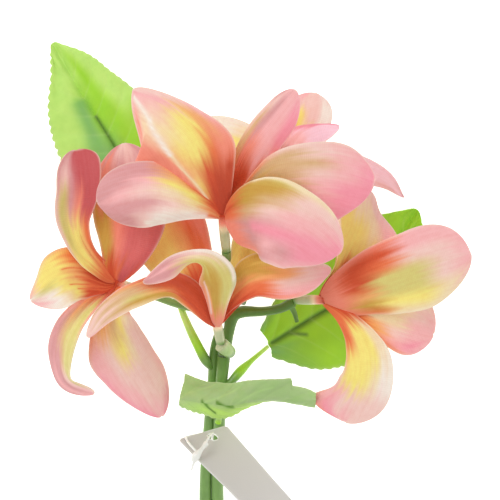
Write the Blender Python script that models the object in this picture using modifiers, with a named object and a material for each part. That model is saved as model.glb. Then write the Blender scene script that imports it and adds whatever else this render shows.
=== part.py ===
"""A cut artificial frangipani spray lying on its back: five blossoms of fabric petals, three leaves,
moulded stems and a blank hang tag.

Run with: blender --background --python part.py
The spray lies along Y with its blossoms towards +Y, and +Z is up from the table. Sizes are written
in millimetres and turned into metres by MM. Nothing moves: every piece belongs to one rigid body.
"""

import math

import bmesh
import bpy
from mathutils import Matrix, Vector

MM = 0.001

# Driving dimensions, in millimetres.
PETAL_CLOTH = 0.5  # thickness of a stiffened petal
LEAF_CLOTH = 0.6
TAG_CARD = 0.5
THROAT_GAP = 0.8  # clearance between a throat tube's rim and the petals above it
TAG_HALF_WIDTH = 12.5
TAG_HOLE_RADIUS = 2.1
TAG_HOLE_ROW = 0.09  # how far down the card the hole is, as a share of its length
LOOP_RADIUS = 0.5

# Shape of a petal, as shares of its length or of its half width.
TIP_START = 0.6  # a petal's edges draw in to its round tip from here
TIP_FULLNESS = 2.3  # 2 is an ellipse, and more is a blunter tip
LAST_ROW = 0.985  # the rows of a sheet end here, and the last row bows out to the tip

# Each blossom has its throat's place, the way its tube runs back from the throat, and its petals.
# A petal's spine is read from the throat. roll turns the petal about its spine, in degrees, from
# facing straight up; cup bends its two edges up, in degrees; lips curl the left and right edge.
BLOSSOMS = {
    "centre": {
        "throat": (-11, 15, 74),
        "tube": (1.5, -15, -12),
        "tube_radii": (2.4, 1.8),
        "petals": {
            "upper_left": {"spine": [(-2, 4, 3), (-6, 18, 14), (-16, 33, 18), (-33, 48, 13)],
                           "left": (2, 16, 25, 16), "right": (2, 12, 12, 8),
                           "roll": (10, -5, -15, -15), "cup": (20, 10, 0, -5), "lips": (-0.6, 0)},
            "left": {"spine": [(-4, 1, 4), (-15, 5, 13), (-30, 7, 16), (-50, 2, 10)],
                     "left": (2, 8, 14, 12), "right": (2, 8, 14, 13),
                     "roll": (20, 15, 10, 10), "cup": (20, -10, -25, -25), "lips": (-0.3, 0)},
            "front": {"spine": [(3, -2, 4), (14, -1, 15), (30, -5, 20), (48, -15, 14)],
                      "left": (2, 13, 17, 12), "right": (2, 14, 18, 13),
                      "roll": (20, 10, 0, 0), "cup": (20, -15, -25, -25), "lips": (0, 0)},
            "right": {"spine": [(4, 2, 2), (17, 12, 10), (36, 13, 11), (60, 10, 5)],
                      "left": (2, 11, 14, 12), "right": (2, 11, 16, 15),
                      "roll": (20, 10, 5, 0), "cup": (20, -10, -20, -25), "lips": (0, 0)},
            "upper_right": {"spine": [(1, 5, 1), (7, 18, 5), (17, 33, 4), (28, 48, -4)],
                            "left": (2, 8, 10, 9), "right": (2, 9, 10, 9),
                            "roll": (30, 30, 20, 10), "cup": (20, -20, -30, -20), "lips": (0, 0)},
        },
    },
    "low": {
        "throat": (-14, -25, 62),
        "tube": (2.2, -12.2, -7.8),
        "tube_radii": (3.2, 2.1),
        "petals": {
            "left": {"spine": [(-3, 1, 4), (-20, 9, 14), (-36, 6, 21), (-50, -8, 19)],
                     "left": (2, 8, 11, 9), "right": (2, 9, 11, 10),
                     "roll": (50, 60, 60, 55), "cup": (20, -15, -25, -20), "lips": (0, 0)},
            "curled": {"spine": [(1, -1, 5), (3, 9, 14), (1, 17, 20), (-10, 20, 24), (-27, 13, 21)],
                       "left": (3, 7, 10, 10, 7), "right": (3, 7, 8, 8, 7),
                       "roll": (0, 10, 30, 50, 50), "cup": (-30, -30, -30, -20, 0), "lips": (0, 0)},
            "right": {"spine": [(4, 0, 3), (17, 9, 10), (31, 13, 10), (47, 18, 4)],
                      "left": (2, 8, 12, 11), "right": (2, 8, 11, 9),
                      "roll": (-20, -30, -40, -40), "cup": (20, 10, 10, 0), "lips": (0, 0)},
            "upper_left": {"spine": [(-3, 4, -2), (-9, 19, -7), (-16, 34, -12), (-24, 47, -19)],
                           "left": (2, 13, 14, 12), "right": (2, 8, 12, 11),
                           "roll": (10, -5, -10, -10), "cup": (20, 10, 10, 0), "lips": (0, 0)},
            "upper_right": {"spine": [(4, 4, -2), (14, 16, -6), (23, 29, -12), (31, 42, -20)],
                            "left": (2, 6, 11, 12), "right": (2, 9, 13, 12),
                            "roll": (10, 10, 0, 0), "cup": (20, 10, 10, 0), "lips": (0, 0)},
        },
    },
    "left": {
        "throat": (-55, -13, 56),
        "tube": (10, -3, -12),
        "tube_radii": (2.4, 1.8),
        "petals": {
            "top": {"spine": [(-3, 4, 3), (-12, 18, 14), (-15, 35, 16), (-11, 54, 9)],
                    "left": (2, 8, 12, 11), "right": (2, 8, 12, 11),
                    "roll": (25, 15, 5, 5), "cup": (30, 45, 60, 60), "lips": (0, 0)},
            "left": {"spine": [(-3, 0, 1), (-12, 3, 7), (-20, 1, 14), (-31, -8, 18)],
                     "left": (2, 8, 8, 7), "right": (2, 10, 13, 6),
                     "roll": (25, 25, 15, 0), "cup": (20, 10, 0, -10), "lips": (0, 0)},
            "curled": {"spine": [(-3, -3, 0), (-13, -12, 6), (-19, -25, 4), (-18, -38, -3),
                                 (-8, -44, -9)],
                       "left": (2, 8, 12, 11, 8), "right": (2, 8, 12, 11, 8),
                       "roll": (45, 55, 55, 55, 45), "cup": (20, 10, 10, 10, 0), "lips": (0, 0)},
            "drooping": {"spine": [(1, -4, 1), (-1, -18, 0), (6, -35, -8), (18, -54, -20)],
                         "left": (2, 12, 15, 11), "right": (2, 13, 13, 7),
                         "roll": (0, -10, -15, -10), "cup": (20, -20, -30, -30), "lips": (0, 0)},
            "right": {"spine": [(1, 3, 2), (6, 16, 7), (7, 33, 4), (4, 56, -8)],
                      "left": (2, 11, 14, 11), "right": (2, 12, 15, 12),
                      "roll": (10, 0, 0, 0), "cup": (20, 10, 10, 0), "lips": (0, 0)},
        },
    },
    "right": {
        "throat": (31, -20, 56),
        "tube": (-13, 0, -4),
        "tube_radii": (2.4, 1.8),
        "petals": {
            "right": {"spine": [(3, 1, 4), (18, 7, 13), (36, 13, 15), (56, 18, 8)],
                      "left": (2, 13, 17, 14), "right": (2, 13, 17, 13),
                      "roll": (10, 0, 0, 0), "cup": (-20, -25, -20, -20), "lips": (0, 0)},
            "lower_right": {"spine": [(4, -2, 0), (17, -6, 3), (30, -10, 1), (43, -14, -6)],
                            "left": (2, 9, 13, 13), "right": (2, 9, 12, 11),
                            "roll": (10, 5, 0, 0), "cup": (-20, -20, -10, 0), "lips": (0, 0)},
            "bottom": {"spine": [(6, -6, 3), (13, -17, 8), (14, -31, 9), (7, -49, 2)],
                       "left": (2, 9, 13, 13), "right": (2, 7, 12, 17),
                       "roll": (10, 0, 0, 0), "cup": (-20, -20, -20, -10), "lips": (0, 0)},
            "top": {"spine": [(1, 4, 1), (8, 16, 4), (14, 29, 2), (17, 44, -5)],
                    "left": (2, 8, 11, 9), "right": (2, 9, 13, 10),
                    "roll": (-10, -20, -10, 0), "cup": (20, 20, 10, 0), "lips": (0, 0)},
            "back": {"spine": [(-2, 4, -2), (-2, 15, -4), (1, 27, -9), (6, 39, -16)],
                     "left": (2, 7, 9, 8), "right": (2, 7, 9, 8),
                     "roll": (60, 60, 50, 40), "cup": (20, 20, 10, 0), "lips": (0, 0)},
        },
    },
    "back": {
        "throat": (17, 34, 32),
        "tube": (-4, -10, -4),
        "tube_radii": (2.2, 1.8),
        "petals": {
            "top": {"spine": [(1, 4, -1), (4, 13, 3), (7, 21, 3), (9, 30, 0)],
                    "left": (2, 7, 9, 8), "right": (2, 7, 9, 8),
                    "roll": (0, 0, 0, 0), "cup": (20, 10, 0, -10), "lips": (0, 0)},
            "upper_right": {"spine": [(4, 3, 5), (9, 8, 12), (15, 13, 15), (20, 16, 14)],
                            "left": (2, 8, 12, 10), "right": (2, 8, 12, 10),
                            "roll": (-60, -65, -65, -65), "cup": (20, 10, 0, 0), "lips": (0, 0)},
            "right": {"spine": [(5, -1, 0), (18, 0, 2), (32, 0, -8), (45, -12, -21)],
                      "left": (2, 8, 11, 9), "right": (2, 8, 11, 9),
                      "roll": (50, 60, 50, 50), "cup": (20, 10, 0, 0), "lips": (0, 0)},
            "left": {"spine": [(-4, 1, 0), (-15, 8, -2), (-27, 13, -14), (-38, 14, -31)],
                     "left": (2, 8, 12, 10), "right": (2, 8, 12, 10),
                     "roll": (30, 20, 10, 0), "cup": (20, 10, 0, -10), "lips": (0, 0)},
            "bottom": {"spine": [(3, -3, 0), (8, -13, -7), (10, -24, -18), (9, -33, -31.4)],
                       "left": (2, 8, 13, 12), "right": (2, 8, 13, 12),
                       "roll": (0, 0, 0, 0), "cup": (20, 10, 0, -10), "lips": (0, 0)},
        },
    },
}

# lobes carry the two base corners of a leaf back past its stalk, as a share of its length.
LEAVES = {
    "leaf_upper": {"spine": [(-45, 22, 30), (-56, 43, 24), (-70, 65, 12), (-83, 87, 0.9)],
                   "left": (9, 19, 22, 20.5, 15.5, 7, 0.6), "right": (9, 17, 19, 19.5, 15.5, 10.5, 0.6),
                   "roll": (0, 0, 0, 0), "cup": (0, 0, 0, 0), "fold": 0.15, "lobes": (0.1, 0.1)},
    "leaf_right": {"spine": [(8, -39, 24), (28, -27, 13), (50, -14, 3.6), (70, 17, 2.2)],
                   "left": (8, 18, 21, 21, 20, 15, 2), "right": (5, 19, 25, 26, 23, 16, 2),
                   "roll": (15, 15, 10, 5), "cup": (0, 0, 0, 0), "fold": 0.1, "lobes": (0.02, 0.02)},
    "leaf_low": {"spine": [(-26, -61, 45), (-10, -63, 50), (7, -61, 55), (26, -64, 55)],
                 "left": (8, 11.5, 11, 10, 9.5, 10, 8, 2), "right": (3, 5, 9, 7, 6, 5, 4, 2),
                 "roll": (0, 20, 70, 85), "cup": (0, 0, 0, 0), "fold": -0.8, "lobes": (0.06, 0)},
}

# The rods of the spray: their centre lines, and the radius of each end.
STEMS = {
    "main_stem": {"route": [(-13, -165, 2.6), (-13, -130, 13.5), (-13.4, -96, 25), (-12.6, -72, 33),
                            (-11.8, -56, 38), (-10.6, -43, 42)],
                  "radii": (2.5, 2.3), "slot": "stem_plastic"},
    "side_stem": {"route": [(-18.2, -161, 4), (-18.2, -130, 13.5), (-18.3, -96, 24), (-16.8, -72, 30.5),
                            (-15.4, -56, 34.3), (-14.4, -40, 39)],
                  "radii": (2.2, 2.0), "slot": "stem_plastic"},
    "right_stalk": {"route": [(-10.3, -42.4, 42.3), (-8.8, -34, 44.6), (-7, -27, 46), (-3, -25, 47),
                              (5, -24.8, 48), (12, -23.6, 50), (17.4, -21, 52)],
                    "radii": (2.2, 1.9), "slot": "stem_plastic"},
    "left_stalk": {"route": [(-11.6, -28.4, 44), (-18, -25, 43), (-30, -21.8, 41.6), (-38, -19, 40.6),
                             (-42.4, -17.2, 41.4), (-44.6, -16.2, 43.3)],
                   "radii": (1.7, 1.6), "slot": "stem_plastic"},
    "centre_stalk": {"route": [(-7.4, -21.6, 48.4), (-8.4, -14, 52), (-9.2, -6, 57), (-9.5, -0.6, 61.4)],
                     "radii": (1.7, 1.6), "slot": "stem_plastic"},
    "back_stalk": {"route": [(-3.6, -21.4, 44.6), (2, -8, 39), (8, 9, 32), (12.6, 23.2, 27.8)],
                   "radii": (1.7, 1.6), "slot": "stem_plastic"},
    "low_socket": {"route": [(-11.6, -38, 53.4), (-9.4, -40, 51.6), (-8.4, -41, 49.4), (-8.6, -41.4, 46.6)],
                   "radii": (2.6, 2.6), "slot": "throat_plastic"},
    "upper_leaf_stalk": {"route": [(-18.6, -45, 40), (-21, -39.6, 42), (-25, -31, 41), (-28.6, -22, 38),
                                   (-34, -4, 34.6), (-44, 20, 31)],
                         "radii": (1.8, 0.8), "slot": "leaf_stalk_plastic"},
    "right_leaf_stalk": {"route": [(-7, -52.6, 39.6), (-3.6, -49, 38.4), (0.8, -45, 34), (7.2, -39.8, 25.4)],
                         "radii": (1.8, 0.8), "slot": "leaf_stalk_plastic"},
    "low_leaf_stalk": {"route": [(-13, -70.3, 37.8), (-12.4, -67.6, 39.6), (-12, -65.6, 42)],
                       "radii": (1.3, 1.0), "slot": "leaf_stalk_plastic"},
}

TAG = {"spine": [(-18.4, -73.2, 43), (-10, -81.2, 51), (-2.8, -89.2, 57), (4, -96, 61), (12, -106, 64)],
       "left": (TAG_HALF_WIDTH, TAG_HALF_WIDTH), "right": (TAG_HALF_WIDTH, TAG_HALF_WIDTH),
       "roll": (-45, -50, -55, -55, -55), "cup": (0, 0, 0, 0)}
LOOP_ROUTE = [(-20.6, -81.4, 60), (-18.4, -78.4, 56.5), (-16.2, -75, 51), (-15, -74.2, 46.6),
              (-15.4, -77, 43.9), (-14, -77.6, 40), (-10.6, -76, 37), (-8.2, -74, 31.4),
              (-12, -73, 26.4), (-18.5, -72.8, 25.8), (-23.6, -73, 31), (-26.4, -73.4, 40),
              (-26.2, -74.2, 49), (-24.2, -77.4, 57)]

COLOURS = {  # base colour and roughness
    "petal_cloth": ((0.93, 0.47, 0.42), 0.75),
    "leaf_cloth": ((0.42, 0.68, 0.12), 0.7),
    "stem_plastic": ((0.16, 0.36, 0.12), 0.5),
    "throat_plastic": ((0.72, 0.76, 0.48), 0.35),
    "leaf_stalk_plastic": ((0.48, 0.62, 0.16), 0.4),
    "tag_card": ((0.78, 0.76, 0.74), 0.6),
    "loop_plastic": ((0.92, 0.92, 0.90), 0.35),
}


def clear_scene():
    for old in list(bpy.data.objects):
        bpy.data.objects.remove(old, do_unlink=True)


def make_collection(name, hidden=False):
    collection = bpy.data.collections.new(name)
    bpy.context.scene.collection.children.link(collection)
    collection.hide_render = hidden
    return collection


def make_material(name):
    colour, roughness = COLOURS[name]
    material = bpy.data.materials.new(name)
    material.use_nodes = True
    shader = material.node_tree.nodes["Principled BSDF"]
    shader.inputs["Base Color"].default_value = (*colour, 1)
    shader.inputs["Roughness"].default_value = roughness
    return material


def catmull_rom(points, t):
    """A smooth curve through the points, or through plain numbers; t runs from 0 to 1."""
    place = min(max(t, 0), 1) * (len(points) - 1)
    i = min(int(place), len(points) - 2)
    f = place - i
    p1, p2 = points[i], points[i + 1]
    p0 = points[i - 1] if i > 0 else p1 * 2 - p2
    p3 = points[i + 2] if i + 2 < len(points) else p2 * 2 - p1
    return (p1 * 2 + (p2 - p0) * f + (p0 * 2 - p1 * 5 + p2 * 4 - p3) * f * f
            + (p1 * 3 - p0 - p2 * 3 + p3) * f ** 3) * 0.5


class Spine:
    """A sheet's centre line, read by share of its length."""

    SAMPLES = 80

    def __init__(self, points):
        self.points = [Vector(p) for p in points]
        self.places = [catmull_rom(self.points, k / self.SAMPLES) for k in range(self.SAMPLES + 1)]
        self.runs = [0.0]
        for a, b in zip(self.places, self.places[1:]):
            self.runs.append(self.runs[-1] + (b - a).length)

    @property
    def length(self):
        return self.runs[-1]

    def at(self, share):
        """The point at this share of the length. Past an end it goes on straight."""
        distance = share * self.length
        last = len(self.runs) - 2
        k = next((j for j in range(last + 1) if self.runs[j + 1] >= distance), last)
        f = (distance - self.runs[k]) / (self.runs[k + 1] - self.runs[k])
        return self.places[k].lerp(self.places[k + 1], f)

    def direction(self, share):
        step = 0.03
        return (self.at(share + step) - self.at(share - step)).normalized()


def petal_width(profile, v):
    """A frangipani petal: a narrow neck, widest past the middle, and a round tip."""
    width = catmull_rom(profile, v)
    if v > TIP_START:
        width *= math.sqrt(1 - ((v - TIP_START) / (1 - TIP_START)) ** TIP_FULLNESS)
    return width


def plain_width(profile, v):
    """A leaf or a card: as wide as its profile says, right to its end."""
    return catmull_rom(profile, v)


def sheet_point(spine, shape, width_at, u, row):
    """A point of a bent sheet. u runs from -1, its left edge, to 1, and row from 0, its base, to 1."""
    v = LAST_ROW * (row + 0.1 * math.sin(math.pi * row))
    width = width_at(shape["left" if u < 0 else "right"], v)
    lobe = shape.get("lobes", (0, 0))[0 if u < 0 else 1]
    share = v + (1 - LAST_ROW) * (1 - u * u) * row ** 4 - lobe * u * u * (1 - row) ** 3
    along = spine.direction(min(max(share, 0), 1))
    up = Vector((0, 0, 1))
    facing = (up - along * up.dot(along)).normalized()
    roll = math.radians(catmull_rom(shape["roll"], v))
    facing = Matrix.Rotation(roll, 3, along) @ facing
    across = along.cross(facing)
    bend = math.radians(catmull_rom(shape["cup"], v))
    if abs(bend) < 1e-3:
        side, lift = u * width, 0.0
    else:
        side = width / bend * math.sin(u * bend)
        lift = width / bend * (1 - math.cos(u * bend))
    lift += shape.get("fold", 0) * abs(u) * width
    left, right = shape.get("lips", (0, 0))
    lip = left if u < 0 else right
    curl = max(abs(u) - 0.45, 0) / 0.55
    lift += lip * width * curl * curl
    return (spine.at(share) + across * side + facing * lift) * MM


def make_sheet(name, shape, width_at, thickness, cells, material, home):
    """A grid bent to the sheet's shape and given its thickness by Solidify."""
    spine = Spine(shape["spine"])
    mesh = bpy.data.meshes.new(name)
    body = bmesh.new()
    bmesh.ops.create_grid(body, x_segments=cells[0], y_segments=cells[1], size=1)
    for vert in body.verts:
        vert.co = sheet_point(spine, shape, width_at, vert.co.x, (vert.co.y + 1) / 2)
    body.to_mesh(mesh)
    body.free()
    mesh.shade_smooth()
    mesh.materials.append(material)
    sheet = bpy.data.objects.new(name, mesh)
    home.objects.link(sheet)
    solidify = sheet.modifiers.new("cloth", "SOLIDIFY")
    solidify.thickness = thickness * MM
    solidify.offset = 0
    return sheet


def make_rod(name, route, radii, material, home, rings=14, resolution=1, cyclic=False):
    """A stem or wire along a smooth route, tapering from its first radius to its second."""
    curve = bpy.data.curves.new(name, "CURVE")
    curve.dimensions = "3D"
    curve.bevel_depth = MM
    curve.bevel_resolution = resolution
    curve.use_fill_caps = not cyclic
    curve.materials.append(material)
    points = [Vector(p) for p in route]
    if cyclic:
        points = points + points[:1]
    strand = curve.splines.new("POLY")
    count = rings if cyclic else rings + 1
    strand.points.add(count - 1)
    strand.use_cyclic_u = cyclic
    for k, point in enumerate(strand.points):
        share = k / rings
        point.co = (*(catmull_rom(points, share) * MM), 1)
        point.radius = radii[0] + (radii[1] - radii[0]) * share
    rod = bpy.data.objects.new(name, curve)
    home.objects.link(rod)
    return rod


def make_blossoms(materials, home):
    for blossom, parts in BLOSSOMS.items():
        throat = Vector(parts["throat"])
        for petal, shape in parts["petals"].items():
            placed = dict(shape)
            placed["spine"] = [throat + Vector(p) for p in shape["spine"]]
            make_sheet(f"{blossom}_petal_{petal}", placed, petal_width, PETAL_CLOTH, (5, 7),
                       materials["petal_cloth"], home)
        back = Vector(parts["tube"])
        rim = throat + back.normalized() * THROAT_GAP
        make_rod(f"{blossom}_throat", [rim, throat + back * 0.5, throat + back], parts["tube_radii"],
                 materials["throat_plastic"], home, rings=4)


def make_leaves(materials, home):
    for name, shape in LEAVES.items():
        make_sheet(name, shape, plain_width, LEAF_CLOTH, (6, 10), materials["leaf_cloth"], home)


def make_stems(materials, home):
    for name, stem in STEMS.items():
        make_rod(name, stem["route"], stem["radii"], materials[stem["slot"]], home)


def make_tag(materials, home, tools):
    card = make_sheet("hang_tag", TAG, plain_width, TAG_CARD, (4, 8), materials["tag_card"], home)
    spine = Spine(TAG["spine"])
    centre, above, beside = (sheet_point(spine, TAG, plain_width, *place)
                             for place in ((0, TAG_HOLE_ROW), (0, TAG_HOLE_ROW + 0.02), (0.1, TAG_HOLE_ROW)))
    through = (beside - centre).cross(above - centre).normalized()
    bpy.ops.mesh.primitive_cylinder_add(vertices=16, radius=TAG_HOLE_RADIUS * MM, depth=8 * MM,
                                        location=centre, rotation=through.to_track_quat("Z", "Y").to_euler())
    punch = bpy.context.object
    punch.name = "tag_hole_punch"
    punch.display_type = "WIRE"
    punch.hide_render = True
    for holder in list(punch.users_collection):
        holder.objects.unlink(punch)
    tools.objects.link(punch)
    hole = card.modifiers.new("hole", "BOOLEAN")
    hole.operation = "DIFFERENCE"
    hole.solver = "EXACT"
    hole.object = punch
    make_rod("tag_loop", LOOP_ROUTE, (LOOP_RADIUS, LOOP_RADIUS), materials["loop_plastic"], home,
             rings=30, cyclic=True)


def rest_on_table(pieces):
    """Moves the whole spray so its lowest points touch the table and its box is centred on the origin."""
    bpy.context.view_layer.update()
    depsgraph = bpy.context.evaluated_depsgraph_get()
    corners = []
    for piece in pieces.objects:
        solid = piece.evaluated_get(depsgraph)
        mesh = solid.to_mesh()
        corners += [piece.matrix_world @ vert.co for vert in mesh.vertices]
        solid.to_mesh_clear()
    low = Vector([min(c[k] for c in corners) for k in range(3)])
    high = Vector([max(c[k] for c in corners) for k in range(3)])
    shift = Vector((-(low.x + high.x) / 2, -(low.y + high.y) / 2, -low.z))
    for piece in bpy.data.objects:
        piece.location += shift
    print("moved by", [round(part / MM, 4) for part in shift],
          "size", [round(part / MM, 2) for part in high - low])


def main():
    clear_scene()
    home = make_collection("frangipani_spray")
    tools = make_collection("cutting_tools", hidden=True)
    materials = {name: make_material(name) for name in COLOURS}
    make_blossoms(materials, home)
    make_leaves(materials, home)
    make_stems(materials, home)
    make_tag(materials, home, tools)
    rest_on_table(home)


main()
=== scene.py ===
import math

import bpy
import numpy as np
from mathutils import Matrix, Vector, noise


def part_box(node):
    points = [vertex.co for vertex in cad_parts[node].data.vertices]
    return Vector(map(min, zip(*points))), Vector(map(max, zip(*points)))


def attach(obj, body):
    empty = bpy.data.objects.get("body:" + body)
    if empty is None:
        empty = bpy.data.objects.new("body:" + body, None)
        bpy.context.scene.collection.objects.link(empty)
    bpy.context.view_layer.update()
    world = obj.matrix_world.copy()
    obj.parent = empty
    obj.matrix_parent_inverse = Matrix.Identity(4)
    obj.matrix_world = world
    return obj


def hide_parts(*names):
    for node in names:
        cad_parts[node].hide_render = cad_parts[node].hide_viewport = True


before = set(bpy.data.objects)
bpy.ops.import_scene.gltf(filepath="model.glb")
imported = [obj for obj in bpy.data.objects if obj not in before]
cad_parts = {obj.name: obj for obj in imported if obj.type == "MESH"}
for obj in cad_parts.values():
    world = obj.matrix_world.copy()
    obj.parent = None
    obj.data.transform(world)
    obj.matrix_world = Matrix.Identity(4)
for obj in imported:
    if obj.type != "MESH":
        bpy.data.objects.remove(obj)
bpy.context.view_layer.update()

mm = 0.001

# The tables below are in millimetres. The main stem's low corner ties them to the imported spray, and a sheet's
# middle stays above the floor gap.
layout = {"stemCorner": (-15.815, -165.64, 0.531), "floorGap": 0.35}
sprayShift = np.array(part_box("main_stem")[0]) / mm - np.array(layout["stemCorner"])

# Dyes and plastics, as the eye reads them (sRGB).
dyes = {
    "k": (0.76, 0.30, 0.19),  # deepest throat
    "r": (0.82, 0.33, 0.19),  # ember
    "o": (0.90, 0.46, 0.28),  # flame
    "s": (0.94, 0.56, 0.47),  # salmon
    "a": (0.93, 0.67, 0.42),  # apricot
    "m": (0.78, 0.62, 0.27),  # mustard
    "j": (0.84, 0.69, 0.50),  # tan
    "y": (0.95, 0.89, 0.49),  # yellow
    "g": (0.83, 0.79, 0.47),  # green tinged yellow
    "c": (0.94, 0.86, 0.70),  # cream
    "w": (0.95, 0.91, 0.86),  # warm white
    "b": (0.94, 0.79, 0.75),  # blush
    "p": (0.95, 0.71, 0.71),  # pink
    "h": (0.95, 0.60, 0.66),  # hot pink
    "d": (0.84, 0.60, 0.60),  # dusty pink
    "x": (0.77, 0.35, 0.36),  # dark rose
    "v": (0.46, 0.61, 0.32),  # stem green
    "f": (0.35, 0.50, 0.19),  # fork green
    "l": (0.74, 0.89, 0.44),  # lime
    "n": (0.61, 0.83, 0.16),  # leaf green
    "i": (0.50, 0.71, 0.38),  # cool leaf green
    "u": (0.64, 0.74, 0.50),  # leaf underside
    "e": (0.68, 0.79, 0.52),  # pale green
    "t": (0.73, 0.76, 0.58),  # tube
    "z": (0.92, 0.92, 0.89),  # milky white
    "q": (0.79, 0.775, 0.765),  # card
    "1": (0.98, 0.80, 0.85),  # lilac pink
    "2": (0.86, 0.44, 0.43),  # rose
}

plainPaint = ("rrrrrrr", "oayyaoo", "gyyyaas", "wcyycps", "bbccppp", "bbbpphp")


# Shape and paint tools that petals, leaves, rods and the card share.
sheetBuild = {"spineSteps": 160, "tangentReach": 0.03, "sectionSteps": 24, "lipWidth": 0.2,
              "smoothAngle": 45}


def curveThrough(points, t):
    points = np.asarray(points, float)
    flat = points.ndim == 1
    if flat:
        points = points[:, None]
    place = np.clip(t, 0, 1) * (len(points) - 1)
    start = np.minimum(place.astype(int), len(points) - 2)
    part = (place - start)[..., None]
    padded = np.vstack([2 * points[:1] - points[1:2], points, 2 * points[-1:] - points[-2:-1]])
    p0, p1, p2, p3 = (padded[start + k] for k in range(4))
    found = 0.5 * (p1 * 2 + (p2 - p0) * part + (p0 * 2 - p1 * 5 + p2 * 4 - p3) * part ** 2
                   + (p1 * 3 - p0 - p2 * 3 + p3) * part ** 3)
    return found[..., 0] if flat else found


def traceSpine(points):
    places = curveThrough(points, np.linspace(0, 1, sheetBuild["spineSteps"] + 1))
    steps = np.linalg.norm(np.diff(places, axis=0), axis=1)
    runs = np.concatenate([[0], np.cumsum(steps)])
    length = runs[-1]
    first, last = places[1] - places[0], places[-1] - places[-2]
    before = places[0] - first / np.linalg.norm(first) * length
    after = places[-1] + last / np.linalg.norm(last) * length
    return {"share": np.concatenate([[-1], runs / length, [2]]), "length": length,
            "places": np.vstack([before, places, after])}


def spineAt(spine, share):
    return np.stack([np.interp(share, spine["share"], spine["places"][:, k]) for k in range(3)], -1)


def unit(vectors):
    return vectors / np.maximum(np.linalg.norm(vectors, axis=-1, keepdims=True), 1e-9)


def crossSection(shape, u, v):
    steps = (np.arange(sheetBuild["sectionSteps"]) + 0.5) / sheetBuild["sectionSteps"]
    out = u[..., None] * steps
    angle = out * np.radians(curveThrough(shape.get("cup", (0, 0)), v))[..., None]
    fold = math.radians(shape.get("fold", 0))
    for side, name in ((-1, "left"), (1, "right")):
        begin = curveThrough(shape.get(name + "Start", (0.5, 0.5)), v)[..., None]
        turned = np.clip((out * side - begin) / sheetBuild["lipWidth"], 0, 1)  # the edge past begin turns
        lip = np.radians(curveThrough(shape.get(name + "Lip", (0, 0)), v))[..., None]
        angle = angle + side * (lip * turned ** 2 * (3 - 2 * turned) + fold * (out * side > 0))
    return u * np.cos(angle).mean(-1), u * np.sin(angle).mean(-1)


def sheetPoints(shape, u, v, width, share):
    spine = traceSpine(shape["spine"])
    held = np.clip(share, 0, 1)
    reach = sheetBuild["tangentReach"]
    along = unit(spineAt(spine, held + reach) - spineAt(spine, held - reach))
    up = np.array([0.0, 0.0, 1.0])
    facing = unit(up - along * along[..., 2:])
    across = np.cross(along, facing)
    roll = np.radians(curveThrough(shape["roll"], v))[..., None]
    rolledUp = facing * np.cos(roll) + across * np.sin(roll)
    rolledOut = across * np.cos(roll) - facing * np.sin(roll)
    side, lift = crossSection(shape, u, v)
    offset = rolledOut * (side * width)[..., None] + rolledUp * (lift * width)[..., None]
    return spineAt(spine, share) + offset


def gridNormals(points):
    return unit(np.cross(np.gradient(points, axis=1), np.gradient(points, axis=0)))


# A noise is given by its depth, then by how fine it is across and along. Seeds are spread so that none match.
def noiseOver(u, v, depth, across, along, seed):
    flat = [noise.noise(Vector((a * across, b * along, seed))) for a, b in zip(u.ravel(), v.ravel())]
    return depth * np.array(flat).reshape(u.shape)


def halfWidths(shape, u, v):
    return np.where(u < 0, curveThrough(shape["left"], v), curveThrough(shape["right"], v))


def linearColour(colour):  # sRGB to linear
    colour = np.clip(colour, 0, 1)
    return np.where(colour <= 0.04045, colour / 12.92, ((colour + 0.055) / 1.055) ** 2.4)


def readPaint(rows, u, v):
    table = np.array([[dyes[letter] for letter in row] for row in rows])
    down = np.clip(v, 0, 1) * (table.shape[0] - 1)
    over = (np.clip(u, -1, 1) + 1) / 2 * (table.shape[1] - 1)
    j = np.minimum(down.astype(int), table.shape[0] - 2)
    i = np.minimum(over.astype(int), table.shape[1] - 2)
    f, g = (down - j)[..., None], (over - i)[..., None]
    f, g = (0.5 * x + 0.5 * x * x * (3 - 2 * x) for x in (f, g))  # half straight, half eased
    near = table[j, i] * (1 - g) + table[j, i + 1] * g
    far = table[j + 1, i] * (1 - g) + table[j + 1, i + 1] * g
    return near * (1 - f) + far * f


# A stroke is a dye, its start and end as (across, along), and its half breadth in millimetres. Some strokes on
# the leaves are painted shade in creases.
def paintStrokes(colours, shape, u, v, widthAt, length):
    for letter, start, end, breadth in shape.get("strokes", []):
        reach = np.clip((v - start[1]) / (end[1] - start[1]), 0, 1)
        middle = start[0] + (end[0] - start[0]) * reach
        across = u * widthAt(shape, u, v) - middle * widthAt(shape, middle, v)
        beyond = (v - start[1] - (end[1] - start[1]) * reach) * length
        amount = np.exp(-(across ** 2 + beyond ** 2) / breadth ** 2)[..., None]
        colours = colours * (1 - amount) + np.array(dyes[letter]) * amount
    return colours


def writeTint(mesh, colours):
    tint = mesh.color_attributes.new("tint", "FLOAT_COLOR", "POINT")
    colours = colours.reshape(-1, 3)
    rgba = np.concatenate([linearColour(colours), np.ones((len(colours), 1))], 1)
    tint.data.foreach_set("color", rgba.ravel())


def writeMask(mesh, name, values):
    mask = mesh.attributes.new(name, "FLOAT", "POINT")
    mask.data.foreach_set("value", np.asarray(values, float).ravel())


def newGrid(name, columns, rows):
    bpy.ops.object.select_all(action="DESELECT")
    bpy.ops.mesh.primitive_grid_add(x_subdivisions=columns, y_subdivisions=rows, size=2)
    piece = bpy.context.object
    piece.name = piece.data.name = name
    places = np.empty(len(piece.data.vertices) * 3)
    piece.data.vertices.foreach_get("co", places)
    places = places.reshape(rows + 1, columns + 1, 3)
    return piece, places[..., 0], (places[..., 1] + 1) / 2


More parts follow.
